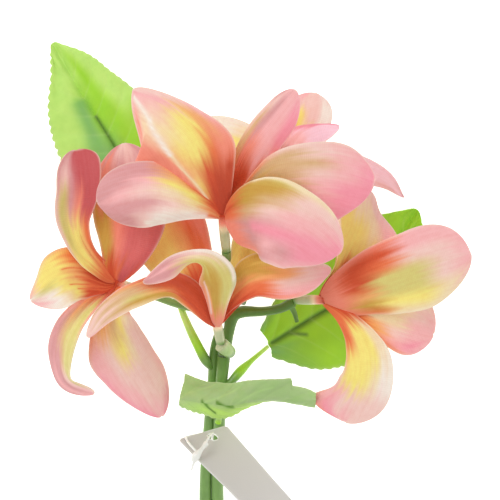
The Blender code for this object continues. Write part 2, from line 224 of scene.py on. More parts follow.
def setShape(piece, points):
    mesh = piece.data
    placed = points + sprayShift
    placed[..., 2] = np.maximum(placed[..., 2], layout["floorGap"])
    mesh.vertices.foreach_set("co", (placed * mm).ravel())
    middle = points.shape[1] // 2
    along = np.cumsum(np.linalg.norm(np.diff(points[:, middle], axis=0, prepend=points[:1, middle]), axis=1))
    across = np.cumsum(np.linalg.norm(np.diff(points, axis=1, prepend=points[:, :1]), axis=2), axis=1)
    across = across - across[:, middle:middle + 1]
    along = np.repeat(along[:, None], points.shape[1], 1)
    flat = np.stack([across, along], -1).reshape(-1, 2) / 100  # the UV map is in units of 100 mm
    corners = np.empty(len(mesh.loops), int)
    mesh.loops.foreach_get("vertex_index", corners)
    mesh.uv_layers[0].data.foreach_set("uv", flat[corners].ravel())
    mesh.update()


def thicken(piece, thickness):
    bpy.ops.object.modifier_add(type="SOLIDIFY")
    wall = piece.modifiers[-1]
    wall.thickness = thickness * mm
    wall.offset = 0
    bpy.ops.object.modifier_apply(modifier=wall.name)
    bpy.ops.object.shade_smooth_by_angle(angle=math.radians(sheetBuild["smoothAngle"]))


def finishPiece(piece, material, slot, *nodes):
    piece.data.materials.clear()
    piece.data.materials.append(material)
    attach(piece, "root")
    if nodes:
        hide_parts(*nodes)


# Materials. A range in a look gives a noise's low and high, then what they become where that is fixed.

def addNode(tree, kind, inputs=None, **settings):
    made = tree.nodes.new(kind)
    for name, value in settings.items():
        setattr(made, name, value)
    for name, value in (inputs or {}).items():
        if isinstance(value, bpy.types.NodeSocket):
            tree.links.new(value, made.inputs[name])
        else:
            made.inputs[name].default_value = value
    return made


def readAttribute(tree, name, output="Fac"):
    return addNode(tree, "ShaderNodeAttribute", attribute_name=name).outputs[output]


def readPlace(tree, kind):
    return addNode(tree, "ShaderNodeTexCoord").outputs[kind]


def addNoise(tree, place, scale, detail, roughness=0.5):
    return addNode(tree, "ShaderNodeTexNoise", {"Vector": place, "Scale": scale, "Detail": detail,
                                                "Roughness": roughness}).outputs["Fac"]


def doMath(tree, operation, first, second=0.0, third=0.0):
    return addNode(tree, "ShaderNodeMath", {0: first, 1: second, 2: third}, operation=operation).outputs[0]


def mixColour(tree, amount, first, second, blend="MIX"):
    return addNode(tree, "ShaderNodeMix", {0: amount, 6: first, 7: second}, data_type="RGBA",
                   blend_type=blend).outputs[2]  # 6, 7 and 2 are its colour sockets


def remap(tree, value, low, high, toLow, toHigh):
    return addNode(tree, "ShaderNodeMapRange", {"Value": value, "From Min": low, "From Max": high,
                                                "To Min": toLow, "To Max": toHigh}).outputs[0]


def newGroup(name, inputs, outputs):
    group = bpy.data.node_groups.new(name, "ShaderNodeTree")
    for label, value in inputs.items():
        kind = "NodeSocketFloat" if isinstance(value, float) else "NodeSocketColor"
        group.interface.new_socket(label, in_out="INPUT", socket_type=kind).default_value = value
    for label in outputs:
        kind = "NodeSocketColor" if label == "Colour" else "NodeSocketFloat"
        group.interface.new_socket(label, in_out="OUTPUT", socket_type=kind)
    return group, group.nodes.new("NodeGroupInput").outputs, group.nodes.new("NodeGroupOutput").inputs


def useGroup(tree, group, inputs):
    return addNode(tree, "ShaderNodeGroup", inputs, node_tree=group).outputs


white = (1, 1, 1, 1)
weaveLook = {"wobbleScale": 45.0, "wobble": 0.9, "tone": (-1.0, 1.0, 0.965, 1.015)}


def makeWeaveGroup():
    group, given, out = newGroup("fabricWeave", {"Threads": 140.0, "Ribs": 0.7}, ["Height", "Tone"])
    cloth = readPlace(group, "UV")
    wobble = addNoise(group, cloth, weaveLook["wobbleScale"], 2.0)
    parts = addNode(group, "ShaderNodeSeparateXYZ", {"Vector": cloth}).outputs
    waves = []
    for part in (parts[1], parts[0]):
        phase = doMath(group, "MULTIPLY", part, given["Threads"])
        phase = doMath(group, "MULTIPLY_ADD", wobble, weaveLook["wobble"], phase)
        waves.append(doMath(group, "SINE", doMath(group, "MULTIPLY", phase, math.tau)))
    crossing = doMath(group, "MULTIPLY", waves[1], doMath(group, "SUBTRACT", 1.0, given["Ribs"]))
    height = doMath(group, "MULTIPLY_ADD", waves[0], given["Ribs"], crossing)
    group.links.new(height, out["Height"])
    group.links.new(remap(group, height, *weaveLook["tone"]), out["Tone"])
    return group


streakLook = {"stretch": (95.0, 7.0, 1.0), "blotchScale": 30.0, "blotchShare": 0.5,
              "mask": (0.4, 0.62, 0.0, 1.0), "deep": (0.95, 0.84, 0.82, 1)}


def makeStreakGroup():
    group, given, out = newGroup("dyeStreaks", {"Colour": white, "Amount": 0.5}, ["Colour", "Mask"])
    cloth = readPlace(group, "UV")
    drawn = addNode(group, "ShaderNodeMapping", {"Vector": cloth, "Scale": streakLook["stretch"]}).outputs[0]
    streak = addNoise(group, drawn, 1.0, 4.0, 0.6)
    blotch = addNoise(group, cloth, streakLook["blotchScale"], 6.0, 0.75)
    streakPart = doMath(group, "MULTIPLY", streak, 1 - streakLook["blotchShare"])
    both = doMath(group, "MULTIPLY_ADD", blotch, streakLook["blotchShare"], streakPart)
    mask = remap(group, both, *streakLook["mask"])
    amount = doMath(group, "MULTIPLY", mask, given["Amount"])
    deep = mixColour(group, 1.0, given["Colour"], streakLook["deep"], "MULTIPLY")
    group.links.new(mixColour(group, amount, given["Colour"], deep), out["Colour"])
    group.links.new(mask, out["Mask"])
    return group


def makeEdgeGroup():
    group, given, out = newGroup("wornEdge", {"Colour": white, "Edge": 0.0, "Amount": 0.4, "Worn": white},
                                 ["Colour"])
    amount = doMath(group, "MULTIPLY", given["Edge"], given["Amount"])
    group.links.new(mixColour(group, amount, given["Colour"], given["Worn"]), out["Colour"])
    return group


mouldedLook = {"stretch": (1.0, 0.12, 1.0), "streakScale": 900.0, "poolScale": 120.0,
               "streaks": (0.35, 0.65), "pools": (0.45, 0.7, 0.0, 0.5), "sheen": (0.3, 0.7),
               "pale": (1.25, 1.2, 1.25, 1), "deep": (0.72, 0.76, 0.72, 1), "shinier": 0.08, "duller": 0.1,
               "bump": (0.15, 0.1)}


def makeMouldedGroup():
    group, given, out = newGroup("mouldedFlow", {"Colour": white, "Streaks": 0.4, "Roughness": 0.4},
                                 ["Colour", "Roughness", "Height"])
    place = readPlace(group, "Object")
    drawn = addNode(group, "ShaderNodeMapping", {"Vector": place, "Scale": mouldedLook["stretch"]}).outputs[0]
    streak = addNoise(group, drawn, mouldedLook["streakScale"], 3.0)
    pool = addNoise(group, place, mouldedLook["poolScale"], 3.0)
    pale = mixColour(group, 1.0, given["Colour"], mouldedLook["pale"], "MULTIPLY")
    deep = mixColour(group, 1.0, given["Colour"], mouldedLook["deep"], "MULTIPLY")
    streakAmount = remap(group, streak, *mouldedLook["streaks"], 0.0, given["Streaks"])
    streaky = mixColour(group, streakAmount, given["Colour"], pale)
    group.links.new(mixColour(group, remap(group, pool, *mouldedLook["pools"]), streaky, deep), out["Colour"])
    shiny = doMath(group, "SUBTRACT", given["Roughness"], mouldedLook["shinier"])
    dull = doMath(group, "ADD", given["Roughness"], mouldedLook["duller"])
    group.links.new(remap(group, pool, *mouldedLook["sheen"], shiny, dull), out["Roughness"])
    group.links.new(streak, out["Height"])
    return group


def startMaterial(name, **values):
    material = bpy.data.materials.new(name)
    material.use_nodes = True
    shader = material.node_tree.nodes["Principled BSDF"]
    for label, value in values.items():
        shader.inputs[label.replace("_", " ")].default_value = value
    return material, material.node_tree, shader.inputs


# A bump is its strength and its height in millimetres.
def linkSurface(tree, shader, colour, roughness, height, bump):
    raised = addNode(tree, "ShaderNodeBump", {"Height": height, "Strength": bump[0],
                                              "Distance": bump[1] * mm})
    tree.links.new(colour, shader["Base Color"])
    tree.links.new(roughness, shader["Roughness"])
    tree.links.new(raised.outputs[0], shader["Normal"])


weaveGroup = makeWeaveGroup()
streakGroup = makeStreakGroup()
edgeGroup = makeEdgeGroup()
mouldedGroup = makeMouldedGroup()


def weaveCloth(tree, look):
    return useGroup(tree, weaveGroup, {"Threads": look["threads"], "Ribs": look["ribs"]})


def wearEdge(tree, colour, look):
    return useGroup(tree, edgeGroup, {"Colour": colour, "Edge": readAttribute(tree, "rim"),
                                      "Amount": look["wear"], "Worn": look["worn"]})["Colour"]


petalLook = {"threads": 150.0, "ribs": 0.7, "streaks": 0.8, "wear": 0.4, "worn": (0.90, 0.78, 0.62, 1),
             "roughness": (0.0, 1.0, 0.68, 0.82), "bump": (0.25, 0.12)}


def makePetalCloth():
    material, tree, shader = startMaterial("petalCloth", Sheen_Weight=0.25, Sheen_Roughness=0.4,
                                           Specular_IOR_Level=0.25)
    weave = weaveCloth(tree, petalLook)
    dyed = useGroup(tree, streakGroup, {"Colour": readAttribute(tree, "tint", "Color"),
                                        "Amount": petalLook["streaks"]})
    edged = wearEdge(tree, dyed["Colour"], petalLook)
    toned = mixColour(tree, 1.0, edged, weave["Tone"], "MULTIPLY")
    roughness = remap(tree, dyed["Mask"], *petalLook["roughness"])
    linkSurface(tree, shader, toned, roughness, weave["Height"], petalLook["bump"])
    return material


leafLook = {"threads": 160.0, "ribs": 0.5, "blotchScale": 14.0, "patches": (0.35, 0.65, 0.0, 0.22),
            "patchColour": (0.20, 0.50, 0.05, 1), "veins": 0.14, "veinColour": (0.62, 0.78, 0.30, 1),
            "wear": 0.35, "worn": (0.60, 0.66, 0.42, 1), "roughness": (0.3, 0.7, 0.55, 0.72),
            "bump": (0.2, 0.1)}


def makeLeafCloth():
    material, tree, shader = startMaterial("leafCloth", Sheen_Weight=0.15, Sheen_Roughness=0.4,
                                           Specular_IOR_Level=0.3)
    tint = readAttribute(tree, "tint", "Color")
    weave = weaveCloth(tree, leafLook)
    blotch = addNoise(tree, readPlace(tree, "UV"), leafLook["blotchScale"], 5.0, 0.6)
    patchy = mixColour(tree, remap(tree, blotch, *leafLook["patches"]), tint, leafLook["patchColour"])
    veins = doMath(tree, "MULTIPLY", readAttribute(tree, "vein"), leafLook["veins"])
    veined = mixColour(tree, veins, patchy, leafLook["veinColour"])
    toned = mixColour(tree, 1.0, wearEdge(tree, veined, leafLook), weave["Tone"], "MULTIPLY")
    roughness = remap(tree, blotch, *leafLook["roughness"])
    linkSurface(tree, shader, toned, roughness, weave["Height"], leafLook["bump"])
    return material


def makeMouldedPlastic(name, roughness, streaks, **values):
    material, tree, shader = startMaterial(name, **values)
    flow = useGroup(tree, mouldedGroup, {"Colour": readAttribute(tree, "tint", "Color"),
                                         "Streaks": streaks, "Roughness": roughness})
    linkSurface(tree, shader, flow["Colour"], flow["Roughness"], flow["Height"], mouldedLook["bump"])
    return material


paperLook = {"fibreScale": 220.0, "flecks": (0.4, 0.7, 0.0, 0.35), "fleckColour": (0.55, 0.52, 0.49, 1),
             "smudgeScale": 9.0, "smudges": (0.4, 0.7, 0.0, 0.25), "smudgeColour": (0.62, 0.58, 0.54, 1),
             "wear": 0.5, "worn": (0.78, 0.77, 0.75, 1), "roughness": (0.3, 0.7, 0.5, 0.65),
             "bump": (0.15, 0.1)}


def makeCardPaper():
    material, tree, shader = startMaterial("cardPaper", Specular_IOR_Level=0.35)
    tint = readAttribute(tree, "tint", "Color")
    place = readPlace(tree, "UV")
    fibre = addNoise(tree, place, paperLook["fibreScale"], 4.0)
    smudge = addNoise(tree, place, paperLook["smudgeScale"], 3.0)
    flecked = mixColour(tree, remap(tree, fibre, *paperLook["flecks"]), tint, paperLook["fleckColour"])
    handled = mixColour(tree, remap(tree, smudge, *paperLook["smudges"]), flecked, paperLook["smudgeColour"])
    roughness = remap(tree, fibre, *paperLook["roughness"])
    linkSurface(tree, shader, wearEdge(tree, handled, paperLook), roughness, fibre, paperLook["bump"])
    return material


materials = {
    "petal": makePetalCloth(),
    "leaf": makeLeafCloth(),
    "stem": makeMouldedPlastic("stemPlastic", roughness=0.42, streaks=0.5),
    "sheath": makeMouldedPlastic("sheathPlastic", roughness=0.36, streaks=0.4),
    "tube": makeMouldedPlastic("tubePlastic", roughness=0.3, streaks=0.4, Coat_Weight=0.25,
                               Coat_Roughness=0.25),
    "loop": makeMouldedPlastic("loopPlastic", roughness=0.28, streaks=0.3),
    "card": makeCardPaper(),
}
print("materials made")


petalBuild = {"columns": 44, "rows": 76, "thickness": 0.4,
              "neck": 0.1, "neckShare": 0.2, "neckSize": 0.3, "easedPart": 0.3, "easings": 12,
              "tipStart": 0.6, "tipFullness": 2.5, "tipEnd": 0.9994, "tipCrowding": 1.6,
              "basePart": 0.25, "baseFill": 2.0, "smoothPart": 0.2, "pleats": 3.5, "pleatDepth": 0.3,
              "crumple": (0.5, 1.3, 2.6), "ripple": (0.5, 1.0, 5.5), "driftAcross": (0.12, 3.0, 2.0),
              "driftAlong": (0.06, 6.0, 1.5), "threads": (0.07, 15.0, 1.5), "rimSide": 0.07, "rimTip": 0.015}

# Spines and tubes are measured from the throat. Paint rows run from base to tip, and each from the left edge
# to the right edge, seen along the spine. Cup, lip, fold and roll are in degrees.
centreBlossom = {
    "throat": (-11, 15, 74), "tube": (1.5, -15, -12),
    "petals": {
        "upper_left": {
            "spine": [(-2, 4, 3), (-6, 16.5, 13), (-12, 30, 18), (-22.5, 41, 17.5), (-35, 47.5, 12)],
            "left": (3, 12, 22, 31, 37, 24), "right": (4, 10, 14.2, 8.6, 5, 5),
            "roll": (10, -5, -10, -15), "cup": (20, 10, 0, -5),
            "leftLip": (-20, -35, -42, -40, -32), "leftStart": (0.5, 0.5, 0.42, 0.3, 0.26),
            "paint": ("oorkkkk", "ssyrkkr", "ssyyoss", "sscyyap", "sscppbb", "bbppbbb"),
            "strokes": [("s", (-0.62, 0.3), (-0.54, 0.72), 6.0), ("s", (-0.6, 0.72), (-0.55, 0.9), 3.5),
                        ("c", (-0.5, 0.06), (-0.4, 0.45), 0.8), ("w", (-0.4, 0.45), (-0.27, 0.8), 0.9),
                        ("w", (-0.27, 0.8), (-0.25, 0.97), 0.8), ("k", (0.9, 0.0), (0.85, 0.24), 2.2)]},
        "left": {
            "spine": [(-4, 1.5, 4), (-14.5, 6, 12.5), (-26, 9, 16), (-38, 8, 14.5), (-49, 3.6, 10)],
            "left": (2.5, 8.8, 15.2, 17.5, 17, 15), "right": (2, 5.4, 10.4, 11.8, 10.8, 8),
            "roll": (20, 15, 10, 5), "cup": (20, -10, -25, -25), "leftLip": (-20, -40, -35, -20),
            "leftStart": (0.4, 0.4), "tipFullness": 5,
            "paint": ("woaorrr", "wwcyyoo", "wwbcyas", "bbdbpdd", "dddpddd", "ddddddd"),
            "strokes": [("w", (-0.75, 0.05), (-0.8, 0.6), 1.6)]},
        "front": {
            "spine": [(2.5, 0, 4), (13, 1.5, 15), (24, -1, 20), (35.5, -7, 19), (46.5, -16, 14)],
            "left": (2, 10, 13.4, 12.5, 10.5, 8), "right": (12, 18, 20.5, 20.5, 19, 16),
            "roll": (2, 2, 0, 0), "cup": (-10, -20, -25, -25), "tipFullness": 3,
            "paint": ("oorosss", "mmmjdds", "gmjbdpd", "cbbppdp", "bbpphhp", "pphhhhh"),
            "strokes": [("h", (0.35, 0.25), (0.45, 0.95), 3.0), ("c", (-0.96, 0.25), (-0.96, 0.8), 0.9)]},
        "right": {
            "spine": [(6, 3, 2.5), (18, 12, 10), (31, 15, 12), (45.5, 15, 9.5), (60, 11.5, 5)],
            "left": (1.5, 5.5, 10.5, 12, 12.5, 10), "right": (2, 8, 12, 17, 22, 19),
            "roll": (20, 10, 5, 0), "cup": (20, -10, -20, -25),
            "paint": ("rrraaoo", "ojmmaos", "bjjjjps", "bbjbppp", "bppphhh", "phhhhhh")},
        "upper_right": {
            "spine": [(2.5, 4.5, 1), (7.5, 18.5, 4.5), (14.7, 30, 5), (22, 39, 2), (29, 48.5, -3)],
            "left": (2, 3.6, 5.2, 6, 6, 6), "right": (6, 12, 11, 10, 9.6, 8),
            "roll": (5, 5, 5, 0), "cup": (10, -15, -25, -20),
            "paint": ("rrrrrrr", "oorrrrs", "jjsspps", "bjdpphh", "bbdpphh", "dpppppp"),
            "strokes": [("o", (0.0, 0.0), (0.5, 0.16), 2.6)]},
    },
}

lowBlossom = {
    "throat": (-14, -25, 62), "tube": (2.2, -12.2, -7.8), "neckShare": 0.55,
    "petals": {
        "left": {
            "spine": [(-2.5, -2, 3), (-15.6, 10, 13), (-31.2, 8.1, 20), (-43, 0.6, 21), (-50, -9.3, 18)],
            "left": (1, 4.5, 5, 6.5, 5.6, 3.6), "right": (2, 9, 8, 6.5, 6, 4.5),
            "roll": (30, 40, 40, 35), "cup": (20, -15, -25, -20),
            "paint": ("rrrrrrr", "aorrrrr", "mmaorrr", "cmgjjas", "bjbjbjb", "pbbbbbp")},
        "curled": {
            "spine": [(1, -3.7, 3), (1.2, 5, 11), (0.6, 13, 18), (-4, 20, 23), (-14, 19.8, 24),
                      (-28, 12.4, 20)],
            "left": (0.6, 4.6, 6.6, 0.6, 5, 4.5), "right": (0.6, 4.6, 8.4, 4.6, 4, 3),
            "roll": (0, 0, 0, 10, 20), "cup": (-20, -25, -15, -20, 0),
            "paint": ("sssssss", "sammggc", "smmmggt", "ggggcbw", "bddpddb", "dddddpp"),
            "strokes": [("b", (-0.8, 0.08), (-0.75, 0.4), 0.35), ("w", (0.9, 0.35), (0.9, 0.6), 0.8)]},
        "right": {
            "spine": [(3.7, 2, 3), (14.8, 12.7, 10), (29.8, 14.7, 10), (46.2, 17.4, 4)],
            "left": (1, 6.5, 10.5, 9, 7, 5), "right": (0.6, 5, 7.8, 10, 8.4, 4.5),
            "roll": (-10, -15, -20, -20), "cup": (20, 10, 10, 0),
            "paint": ("orrrrrr", "mmaoorr", "mmmaoor", "yyaabps", "cbbbbpp", "bbppppp")},
        "upper_left": {
            "spine": [(-3, 4, -2), (-9, 19, -7), (-16, 34, -12), (-24, 47, -19)],
            "left": (4, 15, 19, 16), "right": (3, 9, 13, 12),
            "roll": (10, -5, -10, -10), "cup": (20, 10, 10, 0),
            "paint": ("kkkrrrr", "aorrrrr", "yyyaoos", "yyyaoss", "jyyasss", "ppppsss")},
        "upper_right": {
            "spine": [(4, 4, -2), (14, 16, -6), (23, 29, -12), (31, 42, -20)],
            "left": (3, 7, 13, 15, 14, 11), "right": (3, 9, 13, 12),
            "roll": (10, 10, 0, 0), "cup": (20, 10, 10, 0),
            "paint": ("rrrrrrr", "yyaaoor", "yymaaoo", "gyycbss", "ccbbppp", "bbbpppp")},
    },
}

leftBlossom = {
    "throat": (-55, -13, 56), "tube": (10, -3, -12),
    "petals": {
        "top": {
            "spine": [(-2, 3.4, 3), (-10, 13, 10), (-13.4, 24, 15), (-12, 37, 16), (-14.2, 52.8, 9)],
            "left": (2.5, 6, 8, 11.4, 10.4, 8), "right": (2, 2.8, 4.6, 6.8, 10, 12),
            "roll": (25, 15, 5, 5), "cup": (30, 45, 50, 40), "tipFullness": 4,
            # The dark rose on the right half of the upper rows is painted shade on the cupped inner face.
            "paint": ("oooorrr", "yyyaaor", "bgyyaos", "bgdsxxx", "dbdxxxx", "ddxxxxx")},
        "left": {
            "spine": [(-2.4, -1, 1), (-11.2, 1.8, 7), (-20.4, 1, 13.5), (-31.8, -6.8, 18)],
            "left": (2, 7.5, 9.5, 11, 11, 8), "right": (2.5, 8.5, 12.2, 11.5, 6.5, 4),
            "roll": (20, 15, 10, 0), "cup": (20, 10, 0, -10),
            "paint": ("rrrrrrr", "rrorrrr", "cyyaaoo", "wcyyyya", "wwwgyyc", "ppbwbpb"),
            "strokes": [("o", (-0.6, 0), (-0.5, 0.4), 0.3), ("o", (-0.3, 0), (-0.25, 0.5), 0.3),
                        ("o", (0, 0), (0, 0.42), 0.3), ("o", (0.3, 0), (0.3, 0.55), 0.3),
                        ("o", (0.6, 0), (0.55, 0.45), 0.3)]},
        "curled": {
            "spine": [(-3, -3, 0), (-13, -12, 6), (-19.4, -25, 4), (-18.6, -39, -3), (-8, -45, -9)],
            "left": (2, 8, 10.5, 7.5, 3.4, 3.2), "right": (2, 7, 10, 10, 6.2, 4.5),
            "roll": (45, 55, 55, 55, 45), "cup": (20, 10, 10, 10, 0), "tipFullness": 5,
            "paint": ("rrroooo", "sggjaps", "ggggjdd", "gggjddd", "cgbbdpd", "bbppppp")},
        "drooping": {
            "spine": [(0.5, -4, 1), (-1, -15.2, 0), (4, -28.3, -5), (10.6, -41.3, -12), (18.8, -55, -20)],
            "left": (3, 9, 11.5, 13, 13.6, 11), "right": (3, 8, 14.2, 12.2, 9, 6),
            "roll": (0, -10, -15, -10), "cup": (20, -20, -30, -30),
            "paint": ("ooooorr", "bcyjaas", "bbcybpp", "pbbbbph", "pbbbpph", "hhppphh")},
        "right": {
            "spine": [(1, 3, 2), (6, 16, 7), (7, 33, 4), (4, 56, -8)],
            "left": (3, 10.5, 14.5, 15, 14, 10), "right": (3.5, 10.3, 14.5, 15.5, 14, 11),
            "roll": (10, 0, 0, 0), "cup": (20, 10, 10, 0),
            "paint": ("orroxxr", "mms222x", "mms2222", "sss22ss", "ssddddd", "ddbbbdd")},
    },
}

rightBlossom = {
    "throat": (31, -20, 56), "tube": (-13, 0, -4), "neckShare": 0.3,
    "petals": {
        "right": {
            "spine": [(3, 1, 4), (18, 7, 13), (36, 13, 15), (57, 19, 8)],
            "left": (6, 12, 14.5, 15.6, 17, 19), "right": (8, 12.5, 15.5, 17, 15.5, 13),
            "roll": (10, 0, 0, 0), "cup": (-20, -25, -20, -20),
            "paint": ("sssssss", "srrramo", "sroggyc", "ppbggyc", "ppbbbcc", "ppppppb")},
        "lower_right": {
            "spine": [(4, -2, 0), (17, -6, 3), (30, -10, 1), (43, -14, -6)],
            "left": (2.5, 9, 12, 14, 15, 14), "right": (2.5, 5, 7.5, 10.6, 12.2, 11),
            "roll": (10, 5, 0, 0), "cup": (-20, -20, -10, 0),
            "paint": ("sssssss", "ooooroo", "yyccaas", "cyccbps", "cbbpphp", "ppppppp")},
        "bottom": {
            "spine": [(6, -6, 3), (13, -17, 8), (14, -31, 9), (7, -49, 2)],
            "left": (2, 6.5, 11, 12.6, 13, 11.5), "right": (1, 5.2, 7.2, 9, 13, 34),
            "roll": (10, 0, 0, 0), "cup": (-20, -20, -20, -10),
            "paint": ("rrroooo", "ccyyaoo", "wcyyyya", "wwcyyyb", "bbbbbpp", "bbbpphs")},
        "top": {
            "spine": [(1, 4, 1), (8, 16, 4), (14, 29, 2), (17, 44, -5)],
            "left": (1.5, 4.5, 9.5, 9), "right": (2.5, 9, 18, 16, 6.5, 5),
            "roll": (0, -8, 0, 0), "cup": (20, 20, 10, 0),
            "paint": ("rrrrrrr", "yyaorro", "yyyyyap", "yyyycpp", "yycccbb", "bbbbbbb")},
        "back": {
            "spine": [(2, 4, -2), (5, 14, -6), (8, 25, -12), (10, 37, -19)],
            "left": (2, 6, 9, 8), "right": (2, 7, 9, 8),
            "roll": (60, 60, 50, 40), "cup": (20, 20, 10, 0), "paint": plainPaint},
    },
}

backBlossom = {
    "throat": (17, 34, 32), "tube": (-4, -10, -4),
    "petals": {
        "top": {
            "spine": [(1, 4, -1), (4, 13, 3), (7.3, 21, 3), (9.5, 30.2, 0)],
            "left": (2, 8, 10, 9.5), "right": (2, 8, 9.4, 9),
            "roll": (0, 0, 0, 0), "cup": (20, 10, 0, -10),
            "paint": ("ooooooo", "yyyyyay", "yyyyyyb", "yyybbww", "pbbbbww", "ppbbbbb")},
        "upper_right": {
            "spine": [(-1, 3, 5), (3, 11, 12), (10, 15, 15), (19, 16.2, 14)],
            "left": (9, 7, 3.5, 1.5), "right": (3, 10, 10, 6),
            "roll": (-50, -50, -50, -50), "cup": (20, 10, 0, 0),
            "paint": ("ddddppp", "ppppppp", "h1pppp1", "hh11111", "hh11111", "hh11111")},
        "right": {
            "spine": [(5, -1, 0), (18, 3, 2), (32, -1, -8), (40.5, -5.5, -14), (47, -12, -21)],
            "left": (2, 8, 6, 4.5, 3, 1), "right": (2, 8, 8.5, 7.5, 5, 2),
            "roll": (50, 50, 30, 20), "cup": (20, 10, 0, 0),
            "paint": ("ooooooo", "aaaasss", "1111111", "1111111", "11111p1", "1111111")},
        "left": {
            "spine": [(-4, 1, 0), (-15, 8, -2), (-28, 13, -14), (-43, 14, -30)],
            "left": (2, 8, 11, 10), "right": (2, 7.6, 8.6, 8),
            "roll": (30, 20, 10, 0), "cup": (20, 10, 0, -10),
            "paint": ("ooooooo", "aayyyyc", "yyyyccw", "ccccwww", "cccwwww", "wwwwwww")},
        "bottom": {
            "spine": [(3, -3, 0), (8, -13, -7), (10, -24, -18), (9, -33, -31.4)],
            "left": (2, 8, 13, 12), "right": (2, 8, 13, 12),
            "roll": (0, 0, 0, 0), "cup": (20, 10, 0, -10), "paint": plainPaint},
    },
}


def petalWidths(shape, u, v):
    tip = np.clip((v - petalBuild["tipStart"]) / (1 - petalBuild["tipStart"]), 0, 1)
    rounding = np.sqrt(1 - tip ** shape.get("tipFullness", petalBuild["tipFullness"]))
    filled = petalBuild["baseFill"] * np.clip(1 - v / petalBuild["basePart"], 0, 1) ** 2
    return halfWidths(shape, u, v) * rounding + filled


def drawIntoNeck(points, row, blossom):
    throat, back = np.array(blossom["throat"], float), np.array(blossom["tube"])
    inTube = throat + back * blossom.get("neckShare", petalBuild["neckShare"])
    opened = np.clip(row / petalBuild["neck"], 0, 1)
    pull = (petalBuild["neckSize"] + (1 - petalBuild["neckSize"]) * opened)[..., None]
    points = np.where(pull < 1, inTube + (points - inTube) * pull, points)
    last = int(petalBuild["rows"] * petalBuild["easedPart"])
    for _ in range(petalBuild["easings"]):  # eases the bend where the petal leaves its tube
        points[1:last] = (points[:last - 1] + points[1:last] * 2 + points[2:last + 1]) / 4
    return points


def ruffle(u, v, seed):
    pleats = np.sin(math.pi * (u * petalBuild["pleats"] + seed)) * (1 - v) ** 2 * petalBuild["pleatDepth"]
    crumple = noiseOver(u, v, *petalBuild["crumple"], seed * 7.1)
    ripple = noiseOver(np.sign(u) * 3, v, *petalBuild["ripple"], seed * 3.3)  # one noise to each edge
    return pleats + crumple + ripple * np.abs(u) ** 4


def makePetal(name, blossom, shape, seed):
    piece, u, row = newGrid(name, petalBuild["columns"], petalBuild["rows"])
    placed = dict(shape, spine=[np.array(blossom["throat"], float) + np.array(p) for p in shape["spine"]])
    run = np.clip((row - petalBuild["neck"]) / (1 - petalBuild["neck"]), 0, 1)
    v = petalBuild["tipEnd"] * (1 - (1 - run) ** petalBuild["tipCrowding"])
    points = drawIntoNeck(sheetPoints(placed, u, v, petalWidths(shape, u, v), v), row, blossom)
    ease = np.clip(v / petalBuild["smoothPart"], 0, 1)
    setShape(piece, points + gridNormals(points) * (ruffle(u, v, seed) * ease)[..., None])
    driftU = u + noiseOver(u, v, *petalBuild["driftAcross"], seed * 5.3)
    driftV = v + noiseOver(u, v, *petalBuild["driftAlong"], seed + 20)
    driftV = driftV + noiseOver(u, v, *petalBuild["threads"], seed + 40)
    painted = paintStrokes(readPaint(shape["paint"], driftU, driftV), shape, driftU, v, petalWidths,
                           traceSpine(placed["spine"])["length"])
    writeTint(piece.data, painted)
    side = np.clip((np.abs(u) - 1) / petalBuild["rimSide"] + 1, 0, 1)
    tip = np.clip((v - 1) / petalBuild["rimTip"] + 1, 0, 1)
    writeMask(piece.data, "rim", np.maximum(side, tip) * ease)
    thicken(piece, petalBuild["thickness"])
    return piece


blossoms = {"centre": centreBlossom, "low": lowBlossom, "left": leftBlossom, "right": rightBlossom,
            "back": backBlossom}
seedStep = 1.37
seed = 0
for blossomName, blossom in blossoms.items():
    for petalName, shape in blossom["petals"].items():
        seed += seedStep
        nodeName = f"{blossomName}_petal_{petalName}"
        petal = makePetal(nodeName + "_cloth", blossom, shape, seed)
        finishPiece(petal, materials["petal"], "petal_cloth", nodeName)
    print(blossomName, "blossom made")


# A rod is a bevelled path made a mesh; tubes, stems, stalks and the tag's loop all start as one. Its dyes run
# from the route's start to its end.
rodBuild = {"rings": 60, "around": 6, "smoothAngle": 50}


def makeStrand(name, route, radii, dye, rings=rodBuild["rings"], around=rodBuild["around"], cyclic=False):
    bpy.ops.object.select_all(action="DESELECT")
    bpy.ops.curve.primitive_nurbs_path_add()
    piece = bpy.context.object
    piece.name = name
    line = piece.data
    line.splines.clear()
    line.bevel_depth = mm  # each point's own radius multiplies this
    line.bevel_resolution = around
    line.use_fill_caps = not cyclic
    points = np.array(route, float)
    if cyclic:
        points = np.vstack([points, points[:1]])
    share = np.linspace(0, 1, rings + 1)[:rings if cyclic else rings + 1]
    places = (curveThrough(points, share) + sprayShift) * mm
    widths = curveThrough(radii, share)
    strand = line.splines.new("POLY")
    strand.points.add(len(share) - 1)
    strand.use_cyclic_u = cyclic
    for point, place, width in zip(strand.points, places, widths):
        point.co = (*place, 1)
        point.radius = width
    bpy.ops.object.convert(target="MESH")
    piece = bpy.context.object
    mesh = piece.data
    mesh.name = name
    corners = np.empty(len(mesh.vertices) * 3)
    mesh.vertices.foreach_get("co", corners)
    corners = corners.reshape(-1, 3)
    nearest = np.argmin(((corners[:, None] - places[None]) ** 2).sum(2), 1)
    writeTint(mesh, readPaint([dye] * 2, share[nearest] * 2 - 1, share[nearest]))
    bpy.ops.object.shade_smooth_by_angle(angle=math.radians(rodBuild["smoothAngle"]))
    return piece


tubeBuild = {"flare": (1.8, 1.95, 2.0, 1.9, 1.7), "dye": "vtttcsk", "mouth": 0.3, "rings": 30, "around": 8}

